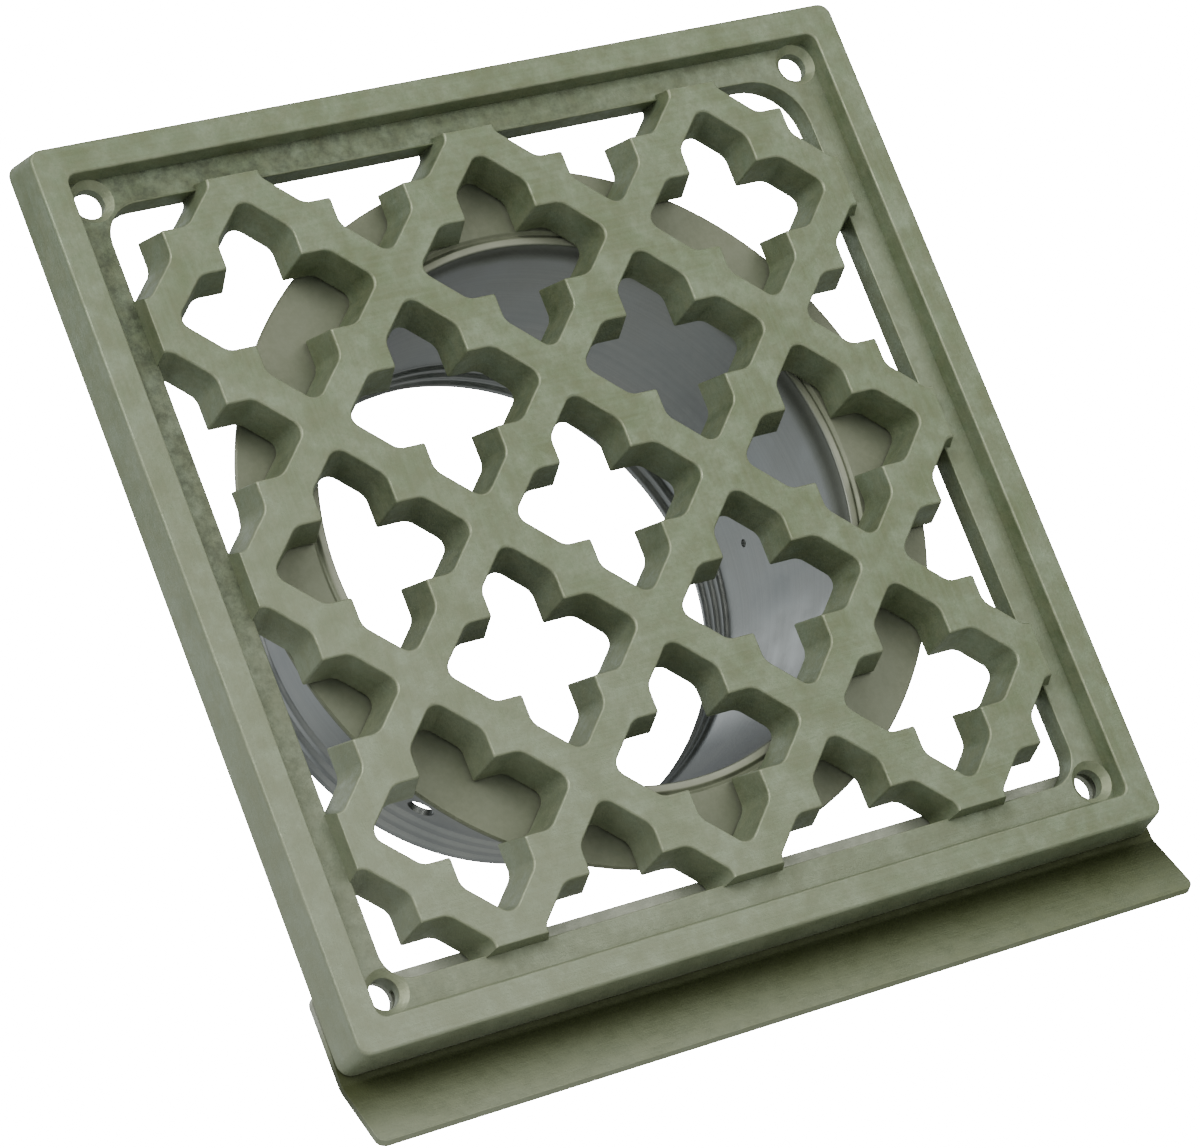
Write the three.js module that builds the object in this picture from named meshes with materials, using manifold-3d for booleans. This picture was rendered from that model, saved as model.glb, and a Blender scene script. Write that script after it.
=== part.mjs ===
// Ventilation grille: a cast frame with flush fretwork, a drip apron behind its foot and a flanged spigot.
// Millimetres. X right, Y back into the wall, Z up. The origin is the centre of the casting's back face.
import * as THREE from "three";
import { mergeVertices } from "three/addons/utils/BufferGeometryUtils.js";
import Module from "manifold-3d";

// Fretwork: rows of cross-shaped openings with gabled arms, and the same openings between them.
const PITCH = 49; // centre to centre along a row
const OPENINGS = 3; // whole openings along a row
const ARM_HALF_WIDTH = 7.35; // from an opening's axis to the side of its arm
const ARM_REACH = 20.1; // from an opening's centre to the sharp apex of an arm
const BEND_RADIUS = 2.9; // where an arm's side turns into its gable
const APEX_RADIUS = 2.2;
const OPENING_DRAFT = 1.5; // an opening is this much narrower all round at the back
const FRETWORK_SETBACK = 0.3; // from the casting's back face to the fretwork's
const ARRIS = 0.8; // rounding of the edges that meet the face

// Frame: a rim round a sunk ledge, which the ends of the bars stand on.
const FRAME_DEPTH = 8.3;
const LEDGE_DEPTH = 3.4;
const LEDGE_THICKNESS = 3.5; // the frame is hollow behind its ledge
const WINDOW_SPARE = 0.25; // the window is this much larger all round than the fretwork's pattern
const WINDOW_SHIFT = [-0.35, -0.3]; // of its middle from the fretwork's, right and up
const WINDOW_RIB = 1.5; // wall that stands behind the ledge round the window
const WINDOW_CORNERS = [10.4, 6.9, 5.4, 6.4]; // top right, top left, bottom left, bottom right
const BAR_SEAT = 0.4; // the bars run at least this far onto the ledge
const BAR_END_DRAFT = 0.6;
const LEDGE_WIDTH = 5.85; // its mean
const RIM_WIDTH = 5.7;
const RIM_INNER_DRAFT = 0.6;
const RIM_OUTER_DRAFT = 1.2;
const RIM_ARRIS = 0.8;
const RIM_INNER_CORNER = 2.2;
const RIM_OUTER_CORNER = 2.6;

// A countersunk screw hole in each corner of the ledge.
const SCREW_RADIUS = 2.85;
const COUNTERSINK_RADIUS = 4.2;
const COUNTERSINK_DEPTH = 1.3;
const SCREW_INSET = 4.4; // from the rim's inner edge to a hole's centre
const SCREW_SIDES = 20;

// Spigot: a flat flange behind the casting, a rolled lip and a tapered tube with beads near its end.
const SEAT_GAP = 0.4; // between the casting's back and what is fixed to it
const FLANGE_RADIUS = 68.5;
const FLANGE_THICKNESS = 1.2;
const LIP_RADIUS = 53.8; // crest of the rolled lip
const LIP_HALF_WIDTH = 0.9;
const LIP_GROOVE = 0.5; // depth of the groove round the lip
const LIP_GROOVE_WIDTH = 1.6;
const TUBE_RADIUS = 49.65; // outside
const TUBE_WALL = 1.4;
const TUBE_END = 56.8; // from the casting's back
const BEADS = 3;
const BEAD_PITCH = 3.9;
const BEAD_DEPTH = 0.9;
const BEAD_WIDTH = 2.6;
const LAST_BEAD_INSET = 2.9; // from the tube's end to the middle of its last bead
const SPIGOT_SIDES = 48;
const SIDE_HOLE_RADIUS = 2.6; // a hole through the tube's wall at its lower left
const SIDE_HOLE_TURN = -133; // degrees from +X
const SIDE_HOLE_INSET = 16.6; // from the tube's end
const PIN_HOLE_RADIUS = 0.8; // a small one at its right
const PIN_HOLE_TURN = -4.8;
const PIN_HOLE_INSET = 21.4;
const WALL_HOLE_SIDES = 12;

// Drip apron: a bent sheet, upright behind the frame's foot and leaning forward below it.
const SHEET = 1.5;
const APRON_OVERHANG = 0.2; // beyond the frame at each side
const APRON_LAP = 15.2; // height of the leg that lies behind the frame
const APRON_ROUND_FLANGE = 0.6; // clearance between the flange's edge and the leg
const APRON_HOLE_SPARE = 0.2; // the apron's two screw holes are this much wider than the casting's
const APRON_CLEARANCE = 0.8; // from the frame's foot down to where the sheet starts to bend
const APRON_BEND_RADIUS = 2.5; // of the sheet's middle
const APRON_SLOPE = 30; // degrees that the flare leans forward
const APRON_FLARE = 13.2; // length of the flat flare below the bend
const APRON_STEPS = 4;
const APRON_CORNER = 1.8;

const CORNER_STEPS = 4;
const PAST = 2; // how far a cutter runs past the face it cuts

const wasm = await Module();
wasm.setup();

// A closed geometry as a solid that can be joined and cut.
function solid(geometry) {
  geometry.deleteAttribute("normal");
  geometry.deleteAttribute("uv");
  const merged = mergeVertices(geometry, 1e-4);
  const kept = [];
  for (let i = 0; i < merged.index.count; i += 3) {
    const [a, b, c] = [0, 1, 2].map((k) => merged.index.getX(i + k));
    if (a !== b && b !== c && c !== a) kept.push(a, b, c);
  }
  return new wasm.Manifold(
    new wasm.Mesh({
      numProp: 3,
      vertProperties: merged.attributes.position.array,
      triVerts: new Uint32Array(kept),
    }),
  );
}

// A mesh made of a solid's triangles, with flat faces.
function part(name, body, material) {
  const { vertProperties, triVerts } = body.getMesh();
  const geometry = new THREE.BufferGeometry();
  geometry.setAttribute("position", new THREE.BufferAttribute(new Float32Array(vertProperties), 3));
  geometry.setIndex(new THREE.BufferAttribute(new Uint32Array(triVerts), 1));
  const mesh = new THREE.Mesh(geometry.toNonIndexed(), material);
  mesh.geometry.computeVertexNormals();
  mesh.name = name;
  return mesh;
}

// A solid through outlines that have the same number of points, each [y, [[x, z], ...]], front to back.
function stack(sections) {
  const positions = sections.flatMap(([y, outline]) => outline.flatMap(([x, z]) => [x, y, z]));
  const count = sections[0][1].length;
  const index = [];
  for (let layer = 0; layer < sections.length - 1; layer++) {
    for (let i = 0; i < count; i++) {
      const [a, b] = [layer * count + i, layer * count + ((i + 1) % count)];
      index.push(a, a + count, b + count, a, b + count, b);
    }
  }
  const last = (sections.length - 1) * count;
  const points = sections[0][1].map(([x, z]) => new THREE.Vector2(x, z));
  for (const [i, j, k] of THREE.ShapeUtils.triangulateShape(points, [])) {
    const clockwise = THREE.ShapeUtils.area([points[i], points[j], points[k]]) < 0;
    const [b, c] = clockwise ? [k, j] : [j, k];
    index.push(i, b, c, last + i, last + c, last + b);
  }
  const geometry = new THREE.BufferGeometry();
  geometry.setAttribute("position", new THREE.Float32BufferAttribute(positions, 3));
  geometry.setIndex(index);
  return solid(geometry);
}

// A ring or disc turned round the Y axis from [radius, y] points that run anticlockwise.
function turned(profile, sides) {
  const closed = [...profile, profile[0]].map(([radius, y]) => new THREE.Vector2(radius, y));
  return solid(new THREE.LatheGeometry(closed, sides));
}

// Points on an arc that rounds the corner at `at`, between the directions towards `from` and `to`.
function roundedCorner(from, at, to, radius, steps) {
  const [p, q, r] = [from, at, to].map(([x, z]) => new THREE.Vector2(x, z));
  const towardsFrom = p.sub(q).normalize();
  const towardsTo = r.sub(q).normalize();
  const half = towardsFrom.angleTo(towardsTo) / 2;
  const centre = q.clone().add(
    towardsFrom.clone().add(towardsTo).normalize().multiplyScalar(radius / Math.sin(half)),
  );
  const start = q.clone().addScaledVector(towardsFrom, radius / Math.tan(half)).sub(centre);
  const end = q.clone().addScaledVector(towardsTo, radius / Math.tan(half)).sub(centre);
  const sweep = Math.atan2(start.cross(end), start.dot(end));
  return Array.from({ length: steps + 1 }, (_, i) => {
    const spoke = start.clone().rotateAround(new THREE.Vector2(), (sweep * i) / steps);
    return [centre.x + spoke.x, centre.y + spoke.y];
  });
}

// A square with its own radius at each corner, anticlockwise from the top right.
function roundedSquare(half, radii) {
  const corners = [[half, half], [-half, half], [-half, -half], [half, -half]];
  return corners.flatMap((corner, i) =>
    roundedCorner(corners[(i + 3) % 4], corner, corners[(i + 1) % 4], radii[i], CORNER_STEPS),
  );
}

// Outline of one opening, `inset` inside its outline at the face: four gabled arms that meet in cusps.
function openingOutline([cx, cz], inset) {
  const side = ARM_HALF_WIDTH - inset;
  const apex = ARM_REACH - inset * Math.SQRT2;
  const arm = [
    [side, -side],
    ...roundedCorner([side, -side], [apex - side, -side], [apex, 0], BEND_RADIUS + inset, 2),
    ...roundedCorner([apex - side, -side], [apex, 0], [apex - side, side], APEX_RADIUS - inset / 2, 3),
    ...roundedCorner([apex, 0], [apex - side, side], [side, side], BEND_RADIUS + inset, 2),
  ];
  return [0, 1, 2, 3].flatMap((turn) => {
    const [cos, sin] = [[1, 0], [0, 1], [-1, 0], [0, -1]][turn];
    return arm.map(([x, z]) => [cx + x * cos - z * sin, cz + x * sin + z * cos]);
  });
}

const front = -FRAME_DEPTH;
const ledge = front + LEDGE_DEPTH;
const fretworkDepth = FRAME_DEPTH - FRETWORK_SETBACK;
const windowHalf = (OPENINGS * PITCH) / 2 + WINDOW_SPARE;
const barFootHalf = windowHalf + Math.max(...WINDOW_SHIFT.map(Math.abs)) + BAR_SEAT;
const barEndHalf = barFootHalf - BAR_END_DRAFT;
const rimInnerHalf = windowHalf + LEDGE_WIDTH;
const rimOuterHalf = rimInnerHalf + RIM_WIDTH;
const frameHalf = rimOuterHalf + RIM_OUTER_DRAFT;
const screwAt = rimInnerHalf - SCREW_INSET;
const same = (radius) => Array(4).fill(radius);

// Frame with its ledge, window and the rib round the window.
function frame() {
  const draftAtArris = (RIM_OUTER_DRAFT * RIM_ARRIS) / FRAME_DEPTH;
  const block = stack([
    [front, roundedSquare(rimOuterHalf - RIM_ARRIS / 2, same(RIM_OUTER_CORNER))],
    [front + RIM_ARRIS / 3, roundedSquare(rimOuterHalf - RIM_ARRIS / 8, same(RIM_OUTER_CORNER))],
    [front + RIM_ARRIS, roundedSquare(rimOuterHalf + draftAtArris, same(RIM_OUTER_CORNER))],
    [0, roundedSquare(frameHalf, same(RIM_OUTER_CORNER))],
  ]);
  const recess = stack([
    [front - PAST, roundedSquare(rimInnerHalf + ARRIS / 2, same(RIM_INNER_CORNER))],
    [front, roundedSquare(rimInnerHalf + ARRIS / 2, same(RIM_INNER_CORNER))],
    [front + ARRIS / 2, roundedSquare(rimInnerHalf, same(RIM_INNER_CORNER))],
    [ledge, roundedSquare(rimInnerHalf - RIM_INNER_DRAFT, same(RIM_INNER_CORNER))],
  ]);
  const window = (more) => {
    const outline = roundedSquare(windowHalf + more, WINDOW_CORNERS.map((radius) => radius + more));
    const [right, up] = WINDOW_SHIFT;
    return stack([[front, outline], [PAST, outline]]).translate([right, 0, up]);
  };
  const hollow = stack([
    [ledge + LEDGE_THICKNESS, roundedSquare(rimInnerHalf - RIM_INNER_DRAFT, same(RIM_INNER_CORNER))],
    [PAST, roundedSquare(rimInnerHalf, same(RIM_INNER_CORNER))],
  ]);
  return block.subtract(recess).subtract(hollow.subtract(window(WINDOW_RIB))).subtract(window(0));
}

// Fretwork: a plate that fills the window and stands on the ledge, pierced by the openings.
function fretwork() {
  const corner = same(RIM_INNER_CORNER);
  const back = front + fretworkDepth;
  let plate = stack([
    [front, roundedSquare(barEndHalf - ARRIS / 2, corner)],
    [front + ARRIS / 2, roundedSquare(barEndHalf, corner)],
    [ledge, roundedSquare(barFootHalf, corner)],
    [back, roundedSquare(barFootHalf, corner)],
  ]);
  const reach = (OPENINGS * PITCH) / 2;
  for (let x = -reach; x <= reach; x += PITCH / 2) {
    for (let z = -reach; z <= reach; z += PITCH / 2) {
      const steps = Math.round((x + z) / (PITCH / 2));
      if (Math.abs(steps) % 2 === 1) continue;
      const past = (PAST * OPENING_DRAFT) / fretworkDepth;
      plate = plate.subtract(
        stack([
          [front - PAST, openingOutline([x, z], -ARRIS / 2)],
          [front, openingOutline([x, z], -ARRIS / 2)],
          [front + ARRIS, openingOutline([x, z], (ARRIS * OPENING_DRAFT) / fretworkDepth)],
          [back + PAST, openingOutline([x, z], OPENING_DRAFT + past)],
        ]),
      );
    }
  }
  return plate;
}

// Countersunk hole through a corner of the ledge.
function screwHole(x, z) {
  const hole = turned(
    [
      [0, front - PAST],
      [COUNTERSINK_RADIUS, front - PAST],
      [COUNTERSINK_RADIUS, ledge],
      [SCREW_RADIUS, ledge + COUNTERSINK_DEPTH],
      [SCREW_RADIUS, PAST],
      [0, PAST],
    ],
    SCREW_SIDES,
  );
  return hole.translate([x, 0, z]);
}

function casting() {
  let body = frame().add(fretwork());
  for (const x of [-screwAt, screwAt]) {
    for (const z of [-screwAt, screwAt]) body = body.subtract(screwHole(x, z));
  }
  return body;
}

// Outside radius of the tube's wall at `depth`: it tapers from its mouth to its first bead.
function tubeRadiusAt(depth) {
  const taperEnd = TUBE_END - LAST_BEAD_INSET - (BEADS - 1) * BEAD_PITCH - BEAD_WIDTH / 2;
  const share = Math.max(0, (taperEnd - depth) / (taperEnd - SEAT_GAP));
  return TUBE_RADIUS + (LIP_RADIUS - LIP_HALF_WIDTH + TUBE_WALL - TUBE_RADIUS) * share;
}

// Tube wall points at `radius`, from the mouth to the tube's end, dipping inwards at each bead.
function beadedWall(radius) {
  const points = [];
  for (let i = BEADS - 1; i >= 0; i--) {
    const middle = TUBE_END - LAST_BEAD_INSET - i * BEAD_PITCH;
    const half = BEAD_WIDTH / 2;
    points.push([radius, middle - half], [radius - BEAD_DEPTH, middle], [radius, middle + half]);
  }
  return points;
}

// Cutter for a hole through the tube's wall.
function wallHole(radius, turn, inset) {
  const pin = new THREE.CylinderGeometry(radius, radius, TUBE_WALL + 2 * PAST, WALL_HOLE_SIDES);
  const depth = TUBE_END - inset;
  pin.rotateZ(Math.PI / 2).translate(tubeRadiusAt(depth) - TUBE_WALL / 2, depth, 0);
  return solid(pin.rotateY(-THREE.MathUtils.degToRad(turn)));
}

function spigot() {
  const bore = TUBE_RADIUS - TUBE_WALL;
  const face = SEAT_GAP;
  const back = face + FLANGE_THICKNESS;
  const mouth = LIP_RADIUS - LIP_HALF_WIDTH;
  const crestOuter = LIP_RADIUS + LIP_HALF_WIDTH / 2;
  const grooveRadius = crestOuter + LIP_GROOVE_WIDTH;
  const outerMouth = back + LIP_HALF_WIDTH / 2;
  const inside = [
    [FLANGE_RADIUS, face],
    [grooveRadius, face],
    [(grooveRadius + crestOuter) / 2, face + LIP_GROOVE],
    [crestOuter, face],
    [LIP_RADIUS - LIP_HALF_WIDTH / 2, face],
    [mouth, face + LIP_HALF_WIDTH / 2],
    ...beadedWall(bore),
    [bore, TUBE_END],
  ];
  const outside = [
    [TUBE_RADIUS, TUBE_END],
    ...beadedWall(TUBE_RADIUS).reverse(),
    [mouth + TUBE_WALL, outerMouth],
    [grooveRadius, back],
    [FLANGE_RADIUS, back],
  ];
  return turned([...inside, ...outside].reverse(), SPIGOT_SIDES)
    .subtract(wallHole(SIDE_HOLE_RADIUS, SIDE_HOLE_TURN, SIDE_HOLE_INSET))
    .subtract(wallHole(PIN_HOLE_RADIUS, PIN_HOLE_TURN, PIN_HOLE_INSET));
}

// Sheet that stands behind the frame's foot, then bends and flares forward below it.
function apron() {
  const halfWidth = frameHalf + APRON_OVERHANG;
  const top = APRON_LAP - frameHalf;
  const bend = -frameHalf - APRON_CLEARANCE;
  const slope = THREE.MathUtils.degToRad(APRON_SLOPE);
  const side = (offset) => {
    const points = [[SEAT_GAP + SHEET / 2 + offset, top]];
    for (let i = 0; i <= APRON_STEPS; i++) {
      const angle = (slope * i) / APRON_STEPS;
      const spoke = APRON_BEND_RADIUS + offset;
      const centre = SEAT_GAP + SHEET / 2 - APRON_BEND_RADIUS;
      points.push([centre + spoke * Math.cos(angle), bend - spoke * Math.sin(angle)]);
    }
    const [y, z] = points.at(-1);
    points.push([y - APRON_FLARE * Math.sin(slope), z - APRON_FLARE * Math.cos(slope)]);
    return points;
  };
  const face = side(-SHEET / 2);
  const rear = side(SHEET / 2);
  const lowest = rear.at(-1)[1];
  const foremost = face.at(-1)[0];
  const profile = new THREE.Shape([...face, ...rear.toReversed()].map(([y, z]) => new THREE.Vector2(y, z)));
  const sheet = new THREE.ExtrudeGeometry(profile, { depth: 2 * halfWidth, bevelEnabled: false });
  sheet.translate(0, 0, -halfWidth);
  sheet.applyMatrix4(new THREE.Matrix4().set(0, 0, 1, 0, 1, 0, 0, 0, 0, 1, 0, 0, 0, 0, 0, 1));
  const corners = [
    [halfWidth, top],
    [-halfWidth, top],
    [-halfWidth, lowest],
    [halfWidth, lowest],
  ];
  const outline = corners.flatMap((corner, i) =>
    roundedCorner(corners[(i + 3) % 4], corner, corners[(i + 1) % 4], APRON_CORNER, CORNER_STEPS),
  );
  const through = 2 * (SEAT_GAP + SHEET + PAST);
  const notch = FLANGE_RADIUS + APRON_ROUND_FLANGE;
  const hole = SCREW_RADIUS + APRON_HOLE_SPARE;
  let body = solid(sheet).intersect(stack([[foremost - PAST, outline], [SEAT_GAP + SHEET + PAST, outline]]));
  body = body.subtract(solid(new THREE.CylinderGeometry(notch, notch, through, SPIGOT_SIDES)));
  for (const x of [-screwAt, screwAt]) {
    const pin = new THREE.CylinderGeometry(hole, hole, through, SCREW_SIDES);
    body = body.subtract(solid(pin.translate(x, 0, -screwAt)));
  }
  return body;
}

const bronze = new THREE.MeshStandardMaterial({ color: 0x8a9278, roughness: 0.5, metalness: 0.7 });
const sheetBronze = new THREE.MeshStandardMaterial({ color: 0x7d8570, roughness: 0.4, metalness: 0.8 });
const steel = new THREE.MeshStandardMaterial({ color: 0x8f9496, roughness: 0.35, metalness: 0.9 });

const grille = new THREE.Group();
grille.name = "ventilation_grille";
grille.add(part("fretwork_grille", casting(), bronze));
grille.add(part("drip_apron", apron(), sheetBronze));
grille.add(part("flanged_spigot", spigot(), steel));
export default grille;
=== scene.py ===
"""Looks of the ventilation grille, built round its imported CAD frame, in metres from sizes in millimetres."""
from math import cos, hypot, pi, radians, sin, tan

import bpy
from mathutils import Matrix, Vector


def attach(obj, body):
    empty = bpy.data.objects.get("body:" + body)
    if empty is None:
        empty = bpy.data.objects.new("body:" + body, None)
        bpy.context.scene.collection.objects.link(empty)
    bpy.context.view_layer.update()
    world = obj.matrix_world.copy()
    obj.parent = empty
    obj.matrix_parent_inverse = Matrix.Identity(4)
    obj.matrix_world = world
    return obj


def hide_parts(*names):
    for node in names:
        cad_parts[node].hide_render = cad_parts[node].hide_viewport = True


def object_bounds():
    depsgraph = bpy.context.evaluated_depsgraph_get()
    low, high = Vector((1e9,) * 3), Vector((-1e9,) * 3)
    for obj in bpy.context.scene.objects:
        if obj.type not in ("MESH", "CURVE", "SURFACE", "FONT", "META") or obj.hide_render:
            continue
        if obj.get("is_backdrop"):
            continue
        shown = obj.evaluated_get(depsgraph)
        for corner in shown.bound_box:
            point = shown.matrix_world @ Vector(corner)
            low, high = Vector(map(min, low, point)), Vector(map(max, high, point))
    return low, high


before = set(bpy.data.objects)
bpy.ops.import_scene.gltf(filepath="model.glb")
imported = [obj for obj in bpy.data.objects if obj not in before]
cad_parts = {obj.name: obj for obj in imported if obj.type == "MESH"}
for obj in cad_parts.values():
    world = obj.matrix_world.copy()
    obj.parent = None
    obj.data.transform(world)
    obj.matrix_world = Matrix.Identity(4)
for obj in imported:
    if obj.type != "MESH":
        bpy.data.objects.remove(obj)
cad_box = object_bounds()
MM = 0.001

# Fretwork and frame
PITCH = 49
OPENINGS = 3
ARM_HALF_WIDTH = 7.35
ARM_REACH = 20.1
BEND_RADIUS = 2.9
APEX_RADIUS = 2.2
CUSP_RADIUS = 0.35
OPENING_DRAFT = 1.5
FRETWORK_DEPTH = 8
ARRIS_WIDTH = 0.5
ARRIS_DEPTH = 0.8
FRAME_DEPTH = 8.3
LEDGE_DEPTH = 3.4
LEDGE_THICKNESS = 3.5
WINDOW_HALF = 73.75
WINDOW_SHIFT = (-0.35, -0.3)
WINDOW_RIB = 1.5
WINDOW_LIP = 0.35
WINDOW_CORNERS = {(1, 1): 10.4, (-1, 1): 6.9, (-1, -1): 5.4, (1, -1): 6.4}
BAR_FOOT_HALF = 74.5
BAR_END_DRAFT = 0.6
RIM_INNER_HALF = 79.6
RIM_INNER_DRAFT = 0.6
RIM_OUTER_HALF = 85.3
RIM_ARRIS = 0.8
RIM_ARRIS_WIDTH = 0.6
RIM_ARRIS_DRAFT = 0.12  # how much the outer sides widen down to the arris's foot
FRAME_HALF = 86.5
RIM_INNER_CORNER = 2.2
RIM_OUTER_CORNER = 2.6
SCREW_AT = 75.2
SCREW_RADIUS = 2.85
COUNTERSINK_RADIUS = 4.2
COUNTERSINK_DEPTH = 1.3
FRONT = -FRAME_DEPTH
LEDGE = FRONT + LEDGE_DEPTH
GRAZE = 0.02  # cutters are shaped from this far in front of the face that they cut
EIGHTHS = [i / 8 for i in range(9)]

# Apron and spigot
SEAT_GAP = 0.4
SHEET = 1.5
APRON_HALF_WIDTH = 86.7
APRON_TOP = -71.3
APRON_BEND = -87.3
APRON_BEND_RADIUS = 2.5
APRON_SLOPE = radians(30)
APRON_FLARE = 13.2
APRON_CORNER = 1.8
APRON_HOLE_RADIUS = 3.05
FLANGE_RADIUS = 68.5
FLANGE_THICKNESS = 1.2
LIP_RADIUS = 53.8
LIP_HALF_WIDTH = 0.9
LIP_GROOVE = 0.5
LIP_GROOVE_WIDTH = 1.6
TUBE_RADIUS = 49.65
TUBE_WALL = 1.4
TUBE_END = 56.8
TUBE_SIDES = 144
SPUN_EDGE = 0.3  # chamfer at the flange's rim and the tube's end
BEADS = 3
BEAD_PITCH = 3.9
BEAD_DEPTH = 0.9
BEAD_WIDTH = 2.6
LAST_BEAD_INSET = 2.9
WALL_HOLES = ((2.6, -133, 16.6), (0.8, -4.8, 21.4))  # radius, degrees from +X, inset from the tube's end

# Studio, in metres and watts: name, place, size, power and colour of each light
LIGHTS = (
    ("key", (-0.85, -1.0, 0.85), 1.0, 24, (1, 1, 1)),
    ("front", (0.9, -1.3, 0.5), 1.2, 10, (1, 1, 0.98)),
    ("behind", (-0.95, 1.35, 0.3), 1.2, 3, (0.92, 0.95, 1)),
    ("through", (-0.2, 1.35, 0.9), 0.8, 2.8, (0.92, 0.95, 1)),
)

# Camera: where it stands in metres, and which way its right, top and back point
SENSOR_WIDTH = 36
FOCAL_LENGTH = 138.25
CAMERA_AT = (-0.4100, -0.7047, -0.1946)
CAMERA_TURN = ((0.8464, -0.3958, -0.3562), (0.2145, -0.3588, 0.9084), (-0.4874, -0.8453, -0.2188))


# Modelling

def deselect():
    if bpy.context.object and bpy.context.object.mode != "OBJECT":
        bpy.ops.object.mode_set(mode="OBJECT")
    bpy.ops.object.select_all(action="DESELECT")


def settle(name):
    """Names the new primitive and puts its place into its mesh."""
    piece = bpy.context.object
    piece.name = piece.data.name = name
    bpy.ops.object.transform_apply(location=True, rotation=True, scale=True)
    return piece


def activate(piece):
    deselect()
    piece.select_set(True)
    bpy.context.view_layer.objects.active = piece


def shape(piece, kind, chosen, *steps):
    """Takes each step, in edit mode, on the faces, edges or vertices that `chosen` accepts."""
    activate(piece)
    bpy.ops.object.mode_set(mode="EDIT")
    bpy.ops.mesh.select_mode(type=kind)
    bpy.ops.mesh.select_all(action="DESELECT")
    bpy.ops.object.mode_set(mode="OBJECT")
    mesh = piece.data
    if kind == "FACE":
        for face in mesh.polygons:
            face.select = chosen(face.center / MM, face.normal)
    elif kind == "EDGE":
        for edge in mesh.edges:
            edge.select = chosen(*(mesh.vertices[i].co / MM for i in edge.vertices))
    else:
        for vertex in mesh.vertices:
            vertex.select = chosen(vertex.co / MM)
    bpy.ops.object.mode_set(mode="EDIT")
    for step in steps:
        step()
    bpy.ops.object.mode_set(mode="OBJECT")


def inset(width, depth):
    return lambda: bpy.ops.mesh.inset(thickness=width * MM, depth=depth * MM, use_even_offset=True)


def quarter(steps):
    """Pairs of angles that divide a quarter turn."""
    turns = [pi / 2 * i / steps for i in range(steps + 1)]
    return zip(turns, turns[1:])


def lip(width, depth, steps=4):
    """Insets that shape a cutter's end so that it leaves a rounded edge."""
    return [inset(width * (sin(b) - sin(a)), depth * (cos(a) - cos(b))) for a, b in quarter(steps)]


def arris(width, depth, steps=4):
    """Insets that round the edge of a block's front face."""
    return [inset(width * (cos(a) - cos(b)), depth * (sin(b) - sin(a))) for a, b in quarter(steps)]


def extrude(x, y, z):
    return lambda: bpy.ops.mesh.extrude_region_move(
        TRANSFORM_OT_translate={"value": (x * MM, y * MM, z * MM)})


def bevel(size, segments, **more):
    return lambda: bpy.ops.mesh.bevel(offset=size * MM, offset_type="OFFSET", segments=segments, **more)


def block(name, half_x, y0, y1, z0, z1):
    deselect()
    bpy.ops.mesh.primitive_cube_add(
        size=1, location=(0, (y0 + y1) / 2 * MM, (z0 + z1) / 2 * MM),
        scale=(2 * half_x * MM, (y1 - y0) * MM, (z1 - z0) * MM))
    return settle(name)


def along_depth(a, b):
    return abs(a.x - b.x) < 0.01 and abs(a.z - b.z) < 0.01


def facing(direction):
    axis = Vector(direction)
    return lambda centre, normal: normal.dot(axis) > 0.99


def join(pieces):
    deselect()
    for piece in pieces:
        piece.select_set(True)
    bpy.context.view_layer.objects.active = pieces[0]
    if len(pieces) > 1:
        bpy.ops.object.join()
    return pieces[0]


def copy_of(piece, x, z):
    activate(piece)
    bpy.ops.object.duplicate()
    other = bpy.context.object
    other.location = (x * MM, 0, z * MM)
    bpy.ops.object.transform_apply(location=True, rotation=False, scale=False)
    return other


def apply(piece, kind, **values):
    activate(piece)
    modifier = piece.modifiers.new(kind.lower(), kind)
    for key, value in values.items():
        setattr(modifier, key, value)
    bpy.ops.object.modifier_apply(modifier=modifier.name)


def combine(piece, other, operation):
    """Joins or cuts `piece` with `other`, which goes."""
    apply(piece, "BOOLEAN", operation=operation, solver="EXACT", object=other)
    bpy.data.objects.remove(other)


def finish_faces(piece, angle):
    """Merges doubled points, turns faces out, and shades them smooth with flat faces kept flat."""
    activate(piece)
    bpy.ops.object.mode_set(mode="EDIT")
    bpy.ops.mesh.select_all(action="SELECT")
    bpy.ops.mesh.remove_doubles(threshold=0.00001)
    bpy.ops.mesh.normals_make_consistent(inside=False)
    bpy.ops.object.mode_set(mode="OBJECT")
    bpy.ops.object.shade_smooth_by_angle(angle=radians(angle))
    apply(piece, "WEIGHTED_NORMAL", keep_sharp=True, weight=100)


# Casting

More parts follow.
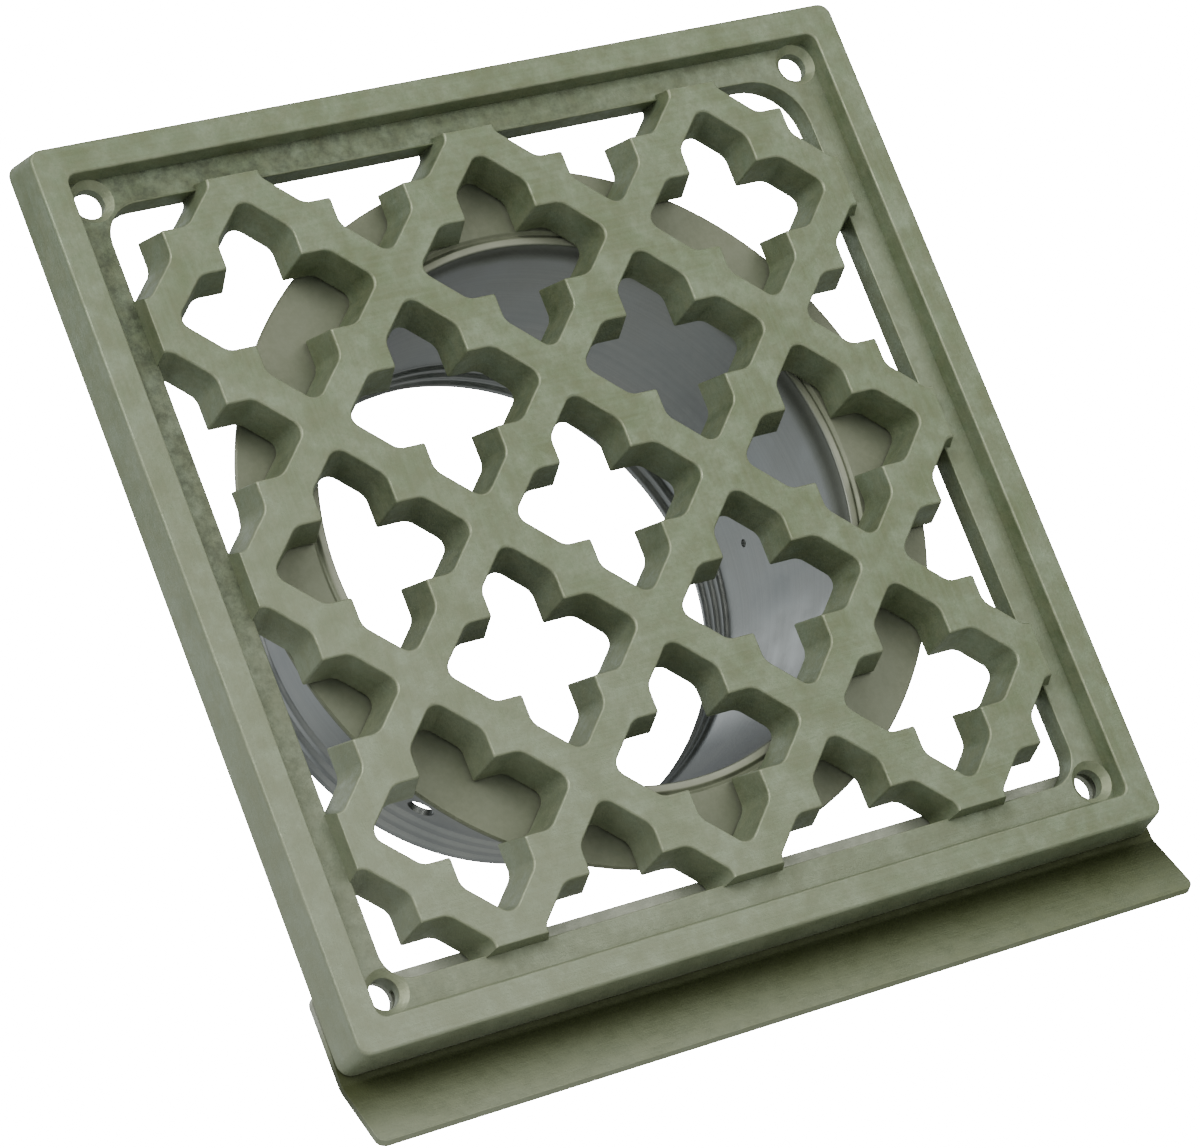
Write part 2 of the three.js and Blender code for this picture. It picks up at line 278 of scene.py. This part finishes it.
def opening_cutter():
    """Cutter for one opening, at the middle.

    Two crossed bars with gabled ends, a lip at the face, and drafted sides.
    """
    side, apex = ARM_HALF_WIDTH + ARRIS_WIDTH, ARM_REACH + ARRIS_WIDTH * 2 ** 0.5
    cutter = block("opening_cutter", apex, FRONT - 2, FRONT - GRAZE, -side, side)
    shape(cutter, "EDGE", along_depth, bevel(side, 1), lambda: bpy.ops.mesh.select_all(action="SELECT"),
          lambda: bpy.ops.mesh.remove_doubles(threshold=0.00001))
    crossing = copy_of(cutter, 0, 0)
    crossing.rotation_euler = (0, pi / 2, 0)
    bpy.ops.object.transform_apply(location=False, rotation=True, scale=False)
    combine(cutter, crossing, "UNION")
    shape(cutter, "FACE", lambda centre, normal: True,
          lambda: bpy.ops.mesh.dissolve_limited(angle_limit=radians(1)))
    run = FRETWORK_DEPTH - ARRIS_DEPTH + 0.5
    shape(cutter, "FACE", facing((0, 1, 0)), *lip(ARRIS_WIDTH, ARRIS_DEPTH + GRAZE),
          inset(OPENING_DRAFT * run / FRETWORK_DEPTH, run))

    def corner(least, most):
        """Edges that run through the cutter where its arms are `least` to `most` further along one axis."""
        def chosen(a, b):
            leads = [abs(abs(p.x) - abs(p.z)) for p in (a, b)]
            return abs(a.y - b.y) > 0.01 and all(least < lead < most for lead in leads)
        return chosen

    shape(cutter, "EDGE", corner(apex / 2, apex), bevel(APEX_RADIUS, 7))
    shape(cutter, "EDGE", corner(apex / 5, apex / 2), bevel(BEND_RADIUS * tan(pi / 8), 5))
    shape(cutter, "EDGE", corner(-1, apex / 5), bevel(CUSP_RADIUS, 3))
    return cutter


def fretwork():
    """Plate that fills the window and stands on the ledge, pierced by the openings."""
    half, back = BAR_FOOT_HALF, FRONT + FRETWORK_DEPTH
    plate = block("fretwork", half, LEDGE, back, -half, half)
    rise = LEDGE_DEPTH - ARRIS_DEPTH / 2
    shape(plate, "FACE", facing((0, -1, 0)), inset(BAR_END_DRAFT, rise),
          *arris(ARRIS_WIDTH / 2, ARRIS_DEPTH / 2))
    first = opening_cutter()
    steps = range(-OPENINGS, OPENINGS + 1)
    spots = [(i * PITCH / 2, j * PITCH / 2) for i in steps for j in steps if (i + j) % 2 == 0]
    cutters = [copy_of(first, x, z) for x, z in spots]
    bpy.data.objects.remove(first)
    combine(plate, join(cutters), "DIFFERENCE")
    return plate


def window_block(more, y0, y1):
    """Block with the window's outline, this much larger all round."""
    half = WINDOW_HALF + more
    window = block("window_cutter", half, y0, y1, -half, half)
    for (sx, sz), radius in WINDOW_CORNERS.items():
        corner = lambda a, b: along_depth(a, b) and hypot(a.x - sx * half, a.z - sz * half) < 0.01
        shape(window, "EDGE", corner, bevel(radius + more, 8))
    return window


def shifted(window):
    moved = copy_of(window, *WINDOW_SHIFT)
    bpy.data.objects.remove(window)
    return moved


def casting_frame():
    body = block("fretwork_casting", FRAME_HALF, FRONT + RIM_ARRIS, 0, -FRAME_HALF, FRAME_HALF)
    shape(body, "EDGE", along_depth, bevel(RIM_OUTER_CORNER, 6))
    ratio = (RIM_OUTER_HALF + RIM_ARRIS_DRAFT) / FRAME_HALF
    shape(body, "FACE", facing((0, -1, 0)),
          lambda: bpy.ops.transform.resize(value=(ratio, 1, ratio), center_override=(0, 0, 0)),
          *arris(RIM_ARRIS_WIDTH, RIM_ARRIS))

    half = RIM_INNER_HALF + ARRIS_WIDTH
    recess = block("recess_cutter", half, FRONT - 2, FRONT, -half, half)
    shape(recess, "EDGE", along_depth, bevel(RIM_INNER_CORNER, 6))
    shape(recess, "FACE", facing((0, 1, 0)), *lip(ARRIS_WIDTH, ARRIS_DEPTH),
          inset(RIM_INNER_DRAFT, LEDGE_DEPTH - ARRIS_DEPTH))
    combine(body, recess, "DIFFERENCE")

    half = RIM_INNER_HALF - RIM_INNER_DRAFT
    hollow = block("hollow_cutter", half, LEDGE + LEDGE_THICKNESS, 2, -half, half)
    shape(hollow, "EDGE", along_depth, bevel(RIM_INNER_CORNER, 6))
    combine(hollow, shifted(window_block(WINDOW_RIB, LEDGE, 3)), "DIFFERENCE")
    combine(body, hollow, "DIFFERENCE")

    window = window_block(WINDOW_LIP, LEDGE - 1, LEDGE)
    shape(window, "FACE", facing((0, 1, 0)), *lip(WINDOW_LIP, WINDOW_LIP, 3), extrude(0, FRAME_DEPTH, 0))
    combine(body, shifted(window), "DIFFERENCE")
    return body


def screw_cutter():
    deselect()
    start = FRONT - 1
    bpy.ops.mesh.primitive_cylinder_add(
        vertices=48, radius=COUNTERSINK_RADIUS * MM, depth=(LEDGE - start) * MM,
        location=(0, (LEDGE + start) / 2 * MM, 0), rotation=(pi / 2, 0, 0))
    cutter = settle("screw_cutter")
    shape(cutter, "FACE", facing((0, 1, 0)), inset(COUNTERSINK_RADIUS - SCREW_RADIUS, COUNTERSINK_DEPTH),
          extrude(0, FRAME_DEPTH, 0))
    return cutter


def casting():
    body = casting_frame()
    combine(body, fretwork(), "UNION")
    first = screw_cutter()
    cutters = [copy_of(first, x * SCREW_AT, z * SCREW_AT) for x in (-1, 1) for z in (-1, 1)]
    bpy.data.objects.remove(first)
    combine(body, join(cutters), "DIFFERENCE")
    finish_faces(body, 32)
    return body


# Apron

def apron():
    """Bent sheet: an upright leg behind the frame's foot and a flare that leans forward below it."""
    sheet = block("bent_apron", APRON_HALF_WIDTH, SEAT_GAP, SEAT_GAP + SHEET, APRON_BEND, APRON_TOP)
    shape(sheet, "EDGE", lambda a, b: along_depth(a, b) and a.z > APRON_BEND + 1, bevel(APRON_CORNER, 6))
    centre = (0, (SEAT_GAP + SHEET / 2 - APRON_BEND_RADIUS) * MM, APRON_BEND * MM)
    steps = 8

    def bend():
        for _ in range(steps):
            bpy.ops.mesh.extrude_region_move()
            bpy.ops.transform.rotate(value=APRON_SLOPE / steps, orient_axis="X", center_override=centre)

    shape(sheet, "FACE", facing((0, 0, -1)), bend,
          extrude(0, -APRON_FLARE * sin(APRON_SLOPE), -APRON_FLARE * cos(APRON_SLOPE)))
    low = min(v.co.z for v in sheet.data.vertices) / MM
    foot = lambda a, b: abs(a.x - b.x) < 0.01 and max(a.z, b.z) < low + 1.2
    shape(sheet, "EDGE", foot, bevel(APRON_CORNER, 6))
    deselect()
    holes = []
    for x in (-SCREW_AT, SCREW_AT):
        bpy.ops.mesh.primitive_cylinder_add(
            vertices=48, radius=APRON_HOLE_RADIUS * MM, depth=8 * MM,
            location=(x * MM, 0, -SCREW_AT * MM), rotation=(pi / 2, 0, 0))
        holes.append(settle("screw_clearance"))
        deselect()
    combine(sheet, join(holes), "DIFFERENCE")
    apply(sheet, "BEVEL", width=0.25 * MM, segments=3, limit_method="ANGLE", angle_limit=radians(50))
    finish_faces(sheet, 40)
    return sheet


# Spigot

def dip(depth, share):
    """Depth of a smooth hollow at this share of its width."""
    return depth * (1 - cos(2 * pi * share)) / 2


def wave(middle, radius):
    """Points of one inward bead of the tube's wall."""
    start = middle - BEAD_WIDTH / 2
    return [(radius - dip(BEAD_DEPTH, share), start + BEAD_WIDTH * share) for share in EIGHTHS]


def spigot_profile():
    """Outline of the spigot's wall as (radius, depth), round from the flange's edge and back to it."""
    bore, face = TUBE_RADIUS - TUBE_WALL, SEAT_GAP
    back = face + FLANGE_THICKNESS
    mouth = LIP_RADIUS - LIP_HALF_WIDTH / 2
    crest = LIP_RADIUS + LIP_HALF_WIDTH / 2
    groove = crest + LIP_GROOVE_WIDTH
    middles = [TUBE_END - LAST_BEAD_INSET - i * BEAD_PITCH for i in reversed(range(BEADS))]
    points = [(FLANGE_RADIUS, face + SPUN_EDGE), (FLANGE_RADIUS - SPUN_EDGE, face)]
    points += [(groove + (crest - groove) * share, face + dip(LIP_GROOVE, share)) for share in EIGHTHS]
    roll = LIP_HALF_WIDTH / 2
    points += [(mouth - roll * sin(pi / 8 * i), face + roll * (1 - cos(pi / 8 * i))) for i in range(5)]
    for middle in middles:
        points += wave(middle, bore)
    points += [(bore, TUBE_END - SPUN_EDGE), (bore + SPUN_EDGE, TUBE_END),
               (TUBE_RADIUS - SPUN_EDGE, TUBE_END), (TUBE_RADIUS, TUBE_END - SPUN_EDGE)]
    for middle in reversed(middles):
        points += reversed(wave(middle, TUBE_RADIUS))
    outer = mouth - roll + TUBE_WALL
    points += [(outer, back + 0.5), (outer + 0.15, back + 0.15), (outer + 0.5, back)]
    points += [(FLANGE_RADIUS - SPUN_EDGE, back), (FLANGE_RADIUS, back - SPUN_EDGE)]
    return points


def spigot():
    """Ring by ring from one circle, each ring moved in depth and resized, and closed on the first."""
    profile = spigot_profile()
    radius, depth = profile[0]
    deselect()
    bpy.ops.mesh.primitive_circle_add(
        vertices=TUBE_SIDES, radius=radius * MM, fill_type="NOTHING",
        location=(0, depth * MM, 0), rotation=(pi / 2, 0, 0))
    tube = settle("spun_spigot")
    activate(tube)
    bpy.ops.object.mode_set(mode="EDIT")
    bpy.ops.mesh.select_all(action="SELECT")
    for wider, deeper in profile[1:] + profile[:1]:
        bpy.ops.mesh.extrude_edges_move(TRANSFORM_OT_translate={"value": (0, (deeper - depth) * MM, 0)})
        scale = wider / radius
        bpy.ops.transform.resize(value=(scale, 1, scale), center_override=(0, deeper * MM, 0))
        radius, depth = wider, deeper
    bpy.ops.mesh.select_all(action="SELECT")
    bpy.ops.mesh.remove_doubles(threshold=0.00001)
    bpy.ops.mesh.normals_make_consistent(inside=False)
    bpy.ops.object.mode_set(mode="OBJECT")
    holes = []
    for size, turn, inset_by in WALL_HOLES:
        deselect()
        angle = radians(turn)
        reach = (TUBE_RADIUS - TUBE_WALL / 2) * MM
        bpy.ops.mesh.primitive_cylinder_add(
            vertices=32, radius=size * MM, depth=8 * MM,
            location=(reach * cos(angle), (TUBE_END - inset_by) * MM, reach * sin(angle)),
            rotation=(0, pi / 2 - angle, 0))
        holes.append(settle("wall_hole_cutter"))
    combine(tube, join(holes), "DIFFERENCE")
    finish_faces(tube, 35)
    return tube


# Materials

def group(name, inputs, outputs):
    """Empty shader node group with named sockets."""
    tree = bpy.data.node_groups.new(name, "ShaderNodeTree")
    for title, kind, default in inputs:
        socket = tree.interface.new_socket(title, in_out="INPUT", socket_type=kind)
        socket.default_value = default
    for title, kind in outputs:
        tree.interface.new_socket(title, in_out="OUTPUT", socket_type=kind)
    return tree, tree.nodes.new("NodeGroupInput"), tree.nodes.new("NodeGroupOutput")


def wire(tree, source, target):
    tree.links.new(source, target)


def noise(tree, coordinates, scale, detail=4, roughness=0.6):
    node = tree.nodes.new("ShaderNodeTexNoise")
    node.inputs["Detail"].default_value = detail
    node.inputs["Roughness"].default_value = roughness
    if isinstance(scale, (int, float)):
        node.inputs["Scale"].default_value = scale
    else:
        wire(tree, scale, node.inputs["Scale"])
    wire(tree, coordinates, node.inputs["Vector"])
    return node.outputs["Fac"]


def ramp(tree, value, low, high, to_low=0, to_high=1):
    """Maps a value from one range to another, clamped and eased."""
    node = tree.nodes.new("ShaderNodeMapRange")
    node.interpolation_type = "SMOOTHSTEP"
    for key, number in (("From Min", low), ("From Max", high), ("To Min", to_low), ("To Max", to_high)):
        node.inputs[key].default_value = number
    wire(tree, value, node.inputs["Value"])
    return node.outputs["Result"]


def maths(tree, operation, a, b):
    node = tree.nodes.new("ShaderNodeMath")
    node.operation = operation
    for socket, value in zip(node.inputs, (a, b)):
        if isinstance(value, (int, float)):
            socket.default_value = value
        else:
            wire(tree, value, socket)
    return node.outputs[0]


def blend(tree, share, a, b, kind="MIX"):
    """Mixes two colours, each a socket or a colour."""
    node = tree.nodes.new("ShaderNodeMix")
    node.data_type, node.blend_type = "RGBA", kind
    wire(tree, share, node.inputs["Factor"])
    for name, value in (("A", a), ("B", b)):
        socket = next(s for s in node.inputs if s.name == name and s.type == "RGBA")
        if isinstance(value, tuple):
            socket.default_value = value
        else:
            wire(tree, value, socket)
    return next(s for s in node.outputs if s.type == "RGBA")


def linear(code):
    """Colour of a six-digit code, as linear RGBA."""
    parts = [int(code[i:i + 2], 16) / 255 for i in (0, 2, 4)]
    return tuple(c / 12.92 if c <= 0.04045 else ((c + 0.055) / 1.055) ** 2.4 for c in parts) + (1.0,)


def tint(tree, colour, mask, strength, code):
    """Lays the code's colour over another one where the mask is high, up to this strength."""
    return blend(tree, maths(tree, "MULTIPLY", mask, strength), colour, linear(code))


def edge_wear_group():
    """Mask of the rounded edges, from the way their faces turn between the front and the sides."""
    tree, given, made = group(
        "edge_wear", [("Breakup Scale", "NodeSocketFloat", 300)], [("Mask", "NodeSocketFloat")])
    turned = separate(tree, tree.nodes.new("ShaderNodeNewGeometry").outputs["Normal"])
    forward = maths(tree, "MULTIPLY", turned["Y"], -1)
    rising, falling = ramp(tree, forward, 0.3, 0.5), ramp(tree, forward, 0.9, 0.985, 1, 0)
    coordinates = tree.nodes.new("ShaderNodeTexCoord").outputs["Object"]
    patches = ramp(tree, noise(tree, coordinates, given.outputs["Breakup Scale"], 3), 0.35, 0.62, 0.45, 1)
    edges = maths(tree, "MULTIPLY", rising, falling)
    wire(tree, maths(tree, "MULTIPLY", edges, patches), made.inputs["Mask"])
    return tree


def mottle_group():
    """Cloudy change of tone, fine grain and a relief height, all from the piece's own coordinates."""
    tree, given, made = group(
        "mottle",
        [("Cloud Scale", "NodeSocketFloat", 45), ("Grain Scale", "NodeSocketFloat", 900)],
        [("Cloud", "NodeSocketFloat"), ("Grain", "NodeSocketFloat"), ("Height", "NodeSocketFloat")])
    coordinates = tree.nodes.new("ShaderNodeTexCoord").outputs["Object"]
    cloud = noise(tree, coordinates, given.outputs["Cloud Scale"], 5, 0.62)
    grain = noise(tree, coordinates, given.outputs["Grain Scale"], 3, 0.7)
    wire(tree, ramp(tree, cloud, 0.32, 0.68), made.inputs["Cloud"])
    wire(tree, ramp(tree, grain, 0.3, 0.7), made.inputs["Grain"])
    wire(tree, maths(tree, "ADD", maths(tree, "MULTIPLY", cloud, 1.5), grain), made.inputs["Height"])
    return tree


def separate(tree, vector):
    node = tree.nodes.new("ShaderNodeSeparateXYZ")
    wire(tree, vector, node.inputs[0])
    return node.outputs


def rubbed_lines_group():
    """Faint lines left by rubbing down: upright beside the middle, level above and below it."""
    tree, given, made = group(
        "rubbed_lines", [("Fineness", "NodeSocketFloat", 900)], [("Lines", "NodeSocketFloat")])
    coordinates = tree.nodes.new("ShaderNodeTexCoord").outputs["Object"]
    lines = []
    for stretch in ((0.04, 1, 1), (1, 1, 0.04)):
        mapping = tree.nodes.new("ShaderNodeMapping")
        mapping.inputs["Scale"].default_value = stretch
        wire(tree, coordinates, mapping.inputs["Vector"])
        lines.append(noise(tree, mapping.outputs[0], given.outputs["Fineness"], 3, 0.65))
    place_in = separate(tree, coordinates)
    across, upward = (maths(tree, "ABSOLUTE", place_in[axis], 0) for axis in ("X", "Z"))
    beside = maths(tree, "GREATER_THAN", across, upward)
    level = maths(tree, "MULTIPLY", lines[0], maths(tree, "SUBTRACT", 1, beside))
    chosen = maths(tree, "ADD", level, maths(tree, "MULTIPLY", lines[1], beside))
    wire(tree, ramp(tree, chosen, 0.38, 0.66), made.inputs["Lines"])
    return tree


def shade_group():
    """Masks of the side walls, for painted shade, of the outermost edges, and of the way to the lower left,
    for painted light.
    """
    masks = [(name, "NodeSocketFloat") for name in ("Painted Shade Walls", "Outside", "Lower Left")]
    tree, _, made = group("shade", [], masks)
    place_in = separate(tree, tree.nodes.new("ShaderNodeTexCoord").outputs["Object"])
    turned = separate(tree, tree.nodes.new("ShaderNodeNewGeometry").outputs["Normal"])
    furthest = maths(tree, "MAXIMUM", *(maths(tree, "ABSOLUTE", place_in[axis], 0) for axis in ("X", "Z")))
    outside = ramp(tree, furthest, 0.0825, 0.0845)
    sideways = ramp(tree, maths(tree, "ABSOLUTE", turned["Y"], 0), 0.35, 0.7, 1, 0)
    wire(tree, maths(tree, "MULTIPLY", sideways, maths(tree, "SUBTRACT", 1, outside)), made.inputs["Painted Shade Walls"])
    wire(tree, outside, made.inputs["Outside"])
    # Painted light: this mask grows towards the lower left.
    diagonal = maths(tree, "ADD", place_in["X"], place_in["Z"])
    wire(tree, ramp(tree, diagonal, -0.17, 0.03, 1, 0), made.inputs["Lower Left"])
    return tree


def ledge_dirt_group():
    """Speckled dirt on sunk faces towards the top left, and pale dust towards the bottom right."""
    tree, given, made = group(
        "ledge_dirt", [("Speckle Scale", "NodeSocketFloat", 420)],
        [("Dirt", "NodeSocketFloat"), ("Dust", "NodeSocketFloat")])
    coordinates = tree.nodes.new("ShaderNodeTexCoord").outputs["Object"]
    place_in = separate(tree, coordinates)
    turned = separate(tree, tree.nodes.new("ShaderNodeNewGeometry").outputs["Normal"])
    sunk = ramp(tree, place_in["Y"], (FRONT + 0.8) * MM, (LEDGE - 0.4) * MM)
    level = ramp(tree, turned["Y"], -0.95, -0.6, 1, 0)
    top_left = ramp(tree, maths(tree, "SUBTRACT", place_in["Z"], place_in["X"]), -0.06, 0.14, 0.2, 1)
    speckle = noise(tree, coordinates, given.outputs["Speckle Scale"], 5, 0.68)
    dirt = maths(tree, "MULTIPLY", top_left, ramp(tree, speckle, 0.32, 0.74, 0.3, 0.9))
    dust = maths(tree, "SUBTRACT", 1, top_left)
    ledge = maths(tree, "MULTIPLY", sunk, level)
    wire(tree, maths(tree, "MULTIPLY", ledge, dirt), made.inputs["Dirt"])
    wire(tree, maths(tree, "MULTIPLY", ledge, dust), made.inputs["Dust"])
    return tree


EDGE_WEAR, MOTTLE = edge_wear_group(), mottle_group()
RUBBED_LINES, LEDGE_DIRT, SHADE = rubbed_lines_group(), ledge_dirt_group(), shade_group()


def new_material(name, roughness, metallic):
    material = bpy.data.materials.new(name)
    material.use_nodes = True
    tree = material.node_tree
    shader = tree.nodes["Principled BSDF"]
    shader.inputs["Roughness"].default_value = roughness
    shader.inputs["Metallic"].default_value = metallic
    return material, tree, shader


def place(tree, shared, **values):
    node = tree.nodes.new("ShaderNodeGroup")
    node.node_tree = shared
    for key, value in values.items():
        node.inputs[key.replace("_", " ")].default_value = value
    return node.outputs


def bump(tree, shader, height, strength, distance):
    node = tree.nodes.new("ShaderNodeBump")
    node.inputs["Strength"].default_value = strength
    node.inputs["Distance"].default_value = distance
    wire(tree, height, node.inputs["Height"])
    wire(tree, node.outputs[0], shader.inputs["Normal"])


def hollows(tree, distance, low, high):
    """Mask that is 1 in corners and recesses, where ambient occlusion finds shade."""
    node = tree.nodes.new("ShaderNodeAmbientOcclusion")
    node.samples = 8
    node.inputs["Distance"].default_value = distance
    return ramp(tree, node.outputs["AO"], low, high, 1, 0)


def bronze(name, pale, deep, warm, worn, wear, dirt):
    """Bronze under a grey-green patina: mottled, rubbed, dirty and darkened by painted shade in its corners,
    with painted shade on its side walls and painted light towards the lower left, pale on its worn edges.
    """
    material, tree, shader = new_material(name, 0.5, 0.5)
    mottle = place(tree, MOTTLE, Cloud_Scale=110, Grain_Scale=1300)
    fine = place(tree, MOTTLE, Cloud_Scale=330, Grain_Scale=2600)
    lines = place(tree, RUBBED_LINES, Fineness=1100)["Lines"]
    colour = tint(tree, linear(deep), mottle["Cloud"], 0.7, pale)
    colour = tint(tree, colour, fine["Cloud"], 0.4, warm)
    colour = tint(tree, colour, mottle["Grain"], 0.4, deep)
    colour = tint(tree, colour, lines, 0.16, pale)
    shade = place(tree, SHADE)
    # Painted light: the bronze is made lighter towards the lower left.
    colour = tint(tree, colour, shade["Lower Left"], 0.45, "a9ae97")
    # Painted shade on the side walls of the openings and rim.
    colour = tint(tree, colour, shade["Painted Shade Walls"], 0.16, "33381c")
    settled = place(tree, LEDGE_DIRT, Speckle_Scale=520)
    colour = tint(tree, colour, settled["Dust"], 0.25, "9ba08a")
    colour = tint(tree, colour, settled["Dirt"], 0.95 * dirt, "2f3327")
    # Dirt and painted shade in corners and recesses, from ambient occlusion; the dirt strength sets both.
    corners = maths(tree, "MULTIPLY", hollows(tree, 0.0015, 0.25, 0.7), 0.7 * dirt)
    colour = tint(tree, colour, corners, ramp(tree, fine["Grain"], 0.25, 0.6, 0.5, 1), "20240f")
    edges = place(tree, EDGE_WEAR, Breakup_Scale=260)["Mask"]
    kept = ramp(tree, shade["Outside"], 0, 1, wear, 0.25 * wear)
    colour = tint(tree, colour, edges, kept, worn)
    return material, tree, shader, colour, fine, lines


def finish_bronze(tree, shader, colour, fine, lines):
    wire(tree, colour, shader.inputs["Base Color"])
    wire(tree, ramp(tree, fine["Cloud"], 0, 1, 0.44, 0.6), shader.inputs["Roughness"])
    bump(tree, shader, maths(tree, "ADD", fine["Height"], maths(tree, "MULTIPLY", lines, 0.2)), 0.4, 0.0002)


def cast_bronze():
    material, tree, shader, colour, fine, lines = bronze(
        "patinated_cast_bronze", "8e9b82", "697555", "888969", "abb192", 0.5, 0.85)
    finish_bronze(tree, shader, colour, fine, lines)
    return material


def apron_bronze():
    """Rolled bronze, darkest under the frame's foot with painted shadow and a darker patina, and made pale
    with painted light on the leg behind the frame.
    """
    material, tree, shader, colour, fine, lines = bronze(
        "patinated_sheet_bronze", "808a6e", "667049", "787d56", "989f86", 0.3, 0.15)
    coordinates = tree.nodes.new("ShaderNodeTexCoord").outputs["Object"]
    height = separate(tree, coordinates)["Z"]
    # Painted shadow, with a darker patina, under the frame's foot.
    painted_shadow_and_patina = maths(
        tree, "MULTIPLY", ramp(tree, height, -0.101, -0.0885), ramp(tree, height, -0.0855, -0.08, 1, 0))
    colour = tint(tree, colour, painted_shadow_and_patina, 0.9, "353c12")
    # Painted light: the leg behind the frame is made pale, as if lit.
    colour = blend(tree, ramp(tree, height, -0.08, -0.076, 0, 0.65), colour, linear("b4b7a9"))
    finish_bronze(tree, shader, colour, fine, lines)
    return material


def spun_steel():
    """Dull zinc-coated steel with faint turning lines.

    The flange is olive-grey, partly a zinc patina and partly a painted reflection of the bronze in front of
    it.
    The lip's crest carries a painted highlight, and the mouth a painted shadow at its upper right.
    """
    material, tree, shader = new_material("spun_steel", 0.34, 1.0)
    coordinates = tree.nodes.new("ShaderNodeTexCoord").outputs["Object"]
    place_in = separate(tree, coordinates)
    squares = [maths(tree, "MULTIPLY", place_in[axis], place_in[axis]) for axis in ("X", "Z")]
    radial = maths(tree, "SQRT", maths(tree, "ADD", *squares), 0)
    gather = tree.nodes.new("ShaderNodeCombineXYZ")
    wire(tree, radial, gather.inputs["X"])
    wire(tree, place_in["Y"], gather.inputs["Y"])
    lines = noise(tree, gather.outputs[0], 1500, 2, 0.6)
    mottle = place(tree, MOTTLE, Cloud_Scale=60, Grain_Scale=900)
    colour = blend(tree, mottle["Cloud"], linear("878b88"), linear("9a9d98"))
    colour = tint(tree, colour, ramp(tree, lines, 0.35, 0.65), 0.15, "6c6f6c")
    # Flange colour: partly a zinc patina, partly a painted reflection of the bronze in front of it.
    flange_patina_and_painted_light = blend(tree, mottle["Cloud"], linear("6f7460"), linear("80846e"))
    flange_patina_and_painted_light = tint(tree, flange_patina_and_painted_light, mottle["Grain"], 0.3, "656a53")

    def from_lip(start, end, *span):
        """Mask across the radii that lie between these distances from the lip."""
        return ramp(tree, radial, (LIP_RADIUS + start) * MM, (LIP_RADIUS + end) * MM, *span)

    # Painted shadow inside the mouth, at its upper right, where the fretwork shades it.
    diagonal = maths(tree, "ADD", place_in["X"], place_in["Z"])
    mouth = maths(tree, "MULTIPLY", from_lip(-1.3, -0.2, 1, 0),
                  ramp(tree, place_in["Y"], 0.0025, 0.0075, 1, 0))
    mouth = maths(tree, "MULTIPLY", mouth, ramp(tree, diagonal, -0.02, 0.02))
    # Painted highlight on the lip's crest.
    crest = maths(tree, "MULTIPLY", from_lip(-0.9, -0.4), from_lip(0.3, 0.9, 1, 0))
    flange_patina_and_painted_light = tint(tree, flange_patina_and_painted_light, mouth, 0.75, "2b2e24")
    flange_patina_and_painted_light = tint(tree, flange_patina_and_painted_light, crest, 0.45, "b6b8a4")
    flange = maths(tree, "MAXIMUM", mouth, from_lip(-1.5, -0.3))
    wire(tree, blend(tree, flange, colour, flange_patina_and_painted_light), shader.inputs["Base Color"])
    wire(tree, ramp(tree, flange, 0, 1, 1, 0.45), shader.inputs["Metallic"])
    roughness = maths(
        tree, "ADD", ramp(tree, mottle["Cloud"], 0, 1, 0.3, 0.44), maths(tree, "MULTIPLY", flange, 0.15))
    wire(tree, roughness, shader.inputs["Roughness"])
    bump(tree, shader, lines, 0.08, 0.0001)
    return material


def dress(piece, material, slot, *nodes):
    piece.data.materials.clear()
    piece.data.materials.append(material)
    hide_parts(*nodes)
    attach(piece, "root")


# Studio

def studio():
    deselect()
    bpy.ops.mesh.primitive_plane_add(size=8, location=(0, 0, -0.6))
    floor = settle("floor")
    material, tree, shader = new_material("pale_floor", 0.9, 0)
    shader.inputs["Base Color"].default_value = (0.75, 0.75, 0.74, 1)
    floor.data.materials.append(material)
    floor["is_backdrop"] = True

    world = bpy.data.worlds.new("studio")
    bpy.context.scene.world = world
    world.use_nodes = True
    tree = world.node_tree
    tree.nodes.clear()
    lit, seen = tree.nodes.new("ShaderNodeBackground"), tree.nodes.new("ShaderNodeBackground")
    lit.inputs["Color"].default_value = (0.9, 0.95, 1, 1)
    lit.inputs["Strength"].default_value = 0.3
    seen.inputs["Color"].default_value = (1, 1, 1, 1)
    seen.inputs["Strength"].default_value = 30
    path, mix = tree.nodes.new("ShaderNodeLightPath"), tree.nodes.new("ShaderNodeMixShader")
    output = tree.nodes.new("ShaderNodeOutputWorld")
    wire(tree, path.outputs["Is Camera Ray"], mix.inputs[0])
    wire(tree, lit.outputs[0], mix.inputs[1])
    wire(tree, seen.outputs[0], mix.inputs[2])
    wire(tree, mix.outputs[0], output.inputs[0])

    for name, place_at, size, power, hue in LIGHTS:
        light = bpy.data.lights.new(name, "AREA")
        light.shape, light.size, light.energy, light.color = "SQUARE", size, power, hue
        lamp = bpy.data.objects.new(name, light)
        bpy.context.scene.collection.objects.link(lamp)
        lamp.location = place_at
        lamp.rotation_euler = (-Vector(place_at)).to_track_quat("-Z", "Y").to_euler()


def camera():
    """Camera where the photograph was taken from: left of the grille, a little below it, and rolled."""
    lens = bpy.data.cameras.new("camera")
    lens.sensor_fit, lens.sensor_width, lens.lens = "HORIZONTAL", SENSOR_WIDTH, FOCAL_LENGTH
    lens.clip_start, lens.clip_end = 0.01, 50
    eye = bpy.data.objects.new("camera", lens)
    bpy.context.scene.collection.objects.link(eye)
    eye.matrix_world = Matrix.Translation(CAMERA_AT) @ Matrix(CAMERA_TURN).transposed().to_4x4()
    bpy.context.scene.camera = eye


dress(casting(), cast_bronze(), "patinated_bronze", "fretwork_grille")
dress(apron(), apron_bronze(), "bronze_sheet", "drip_apron")
dress(spigot(), spun_steel(), "galvanised_steel", "flanged_spigot")
studio()
camera()

[[list(corner) for corner in box] for box in (cad_box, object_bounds())]
